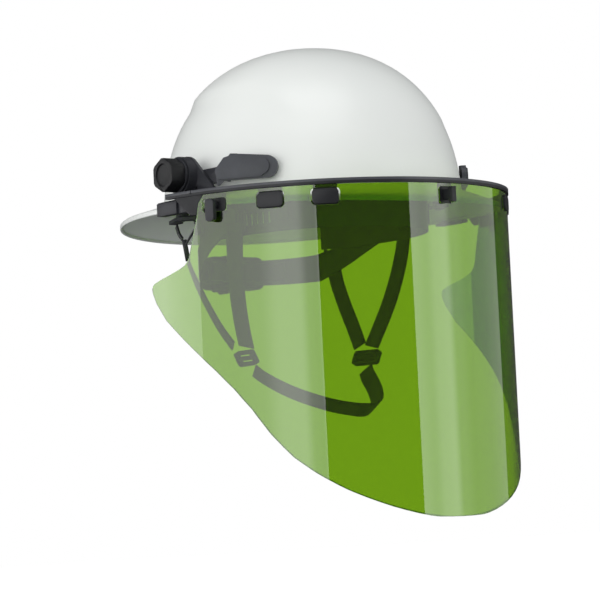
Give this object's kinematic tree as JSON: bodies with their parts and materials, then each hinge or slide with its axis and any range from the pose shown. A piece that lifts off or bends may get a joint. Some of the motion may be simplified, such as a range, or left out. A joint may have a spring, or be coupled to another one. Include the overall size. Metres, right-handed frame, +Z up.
{
  "type": "hard hat with face shield",
  "caption": "Full-brim hard hat with a clear green tilting face shield clamped to the brim, a ratchet headband suspension and a four-point chin strap.",
  "frame": {"origin": "middle of the headband's lower edge, where the wearer's head goes in", "axes": "+Z up, the wearer faces -Y, the wearer's left is +X"},
  "size_m": [0.3006, 0.3326, 0.376],
  "materials": {
    "shell_white": "satin moulded plastic",
    "grey_nylon": "fine-textured moulded plastic",
    "black_nylon": "fine-textured moulded nylon",
    "black_webbing": "woven polyester webbing",
    "pad_foam": "knitted cloth over foam",
    "pad_rubber": "moulded rubber",
    "steel": "black zinc-plated",
    "green_window": "clear green polycarbonate"
  },
  "bodies": {
    "hat": {"shell": "shell_white", "key_sockets": "shell_white", "suspension_keys": "grey_nylon", "crown_strap_front": "black_webbing", "crown_strap_side": "black_webbing", "crown_strap_rear": "black_webbing", "crown_pad": "grey_nylon", "headband": "grey_nylon", "band_hangers": "grey_nylon", "brow_pad": "pad_foam", "nape_strap": "grey_nylon", "nape_pad": "pad_foam", "ratchet_housing": "black_nylon", "ratchet_cover": "black_nylon", "rack_strips": "grey_nylon", "bracket_right": "black_nylon", "bracket_left": "black_nylon", "pivot_bolt_right": "steel", "pivot_bolt_left": "steel", "washer_right": "black_nylon", "washer_left": "black_nylon", "arm_pin_right": "steel", "arm_pin_left": "steel", "front_strap_right": "black_webbing", "front_strap_left": "black_webbing", "rear_strap_right": "black_webbing", "rear_strap_left": "black_webbing", "strap_fork_right": "black_webbing", "strap_fork_left": "black_webbing", "fork_yoke_right": "black_nylon", "fork_yoke_left": "black_nylon", "jaw_slider_right": "black_nylon", "jaw_slider_left": "black_nylon", "chin_strap": "black_webbing", "strap_anchors": "grey_nylon"},
    "visor": {"visor_carrier": "black_nylon", "ear_plate_right": "black_nylon", "ear_plate_left": "black_nylon", "ear_screws": "steel", "window": "green_window"},
    "latch_right": {"latch_right": "black_nylon"},
    "latch_left": {"latch_left": "black_nylon"},
    "knob_right": {"knob_right": "black_nylon"},
    "knob_left": {"knob_left": "black_nylon"},
    "arm_right": {"clamp_arm_right": "black_nylon", "arm_pad_right": "pad_rubber"},
    "arm_left": {"clamp_arm_left": "black_nylon", "arm_pad_left": "pad_rubber"},
    "ratchet": {"ratchet_knob": "black_nylon", "ratchet_pinion": "grey_nylon"}
  },
  "joints": [
    {"name": "visor_tilt", "type": "hinge", "parent": "hat", "child": "visor", "pos_m": [0, -0.003, 0.046], "axis": [-1, 0, 0], "range_deg": [0, 95]},
    {"name": "knob_right_turn", "type": "hinge", "parent": "hat", "child": "knob_right", "pos_m": [-0.1387, -0.003, 0.046], "axis": [-1, 0, 0], "continuous": true},
    {"name": "knob_left_turn", "type": "hinge", "parent": "hat", "child": "knob_left", "pos_m": [0.1387, -0.003, 0.046], "axis": [1, 0, 0], "continuous": true},
    {"name": "latch_right_turn", "type": "hinge", "parent": "visor", "child": "latch_right", "pos_m": [-0.14001, -0.05633, 0.017], "axis": [-0.9474, -0.3199, 0], "range_deg": [0, 90]},
    {"name": "latch_left_turn", "type": "hinge", "parent": "visor", "child": "latch_left", "pos_m": [0.14001, -0.05633, 0.017], "axis": [0.9474, -0.3199, 0], "range_deg": [-90, 0]},
    {"name": "arm_right_swing", "type": "hinge", "parent": "hat", "child": "arm_right", "pos_m": [-0.1173, -0.042, 0.045], "axis": [0, 0, -1], "range_deg": [0, 25], "stiffness_Nm_per_rad": 0.06, "springref_deg": -17.19},
    {"name": "arm_left_swing", "type": "hinge", "parent": "hat", "child": "arm_left", "pos_m": [0.1173, -0.042, 0.045], "axis": [0, 0, 1], "range_deg": [0, 25], "stiffness_Nm_per_rad": 0.06, "springref_deg": -17.19},
    {"name": "ratchet_turn", "type": "hinge", "parent": "hat", "child": "ratchet", "pos_m": [0, 0.1174, -0.017], "axis": [0, 1, 0], "continuous": true}
  ]
}
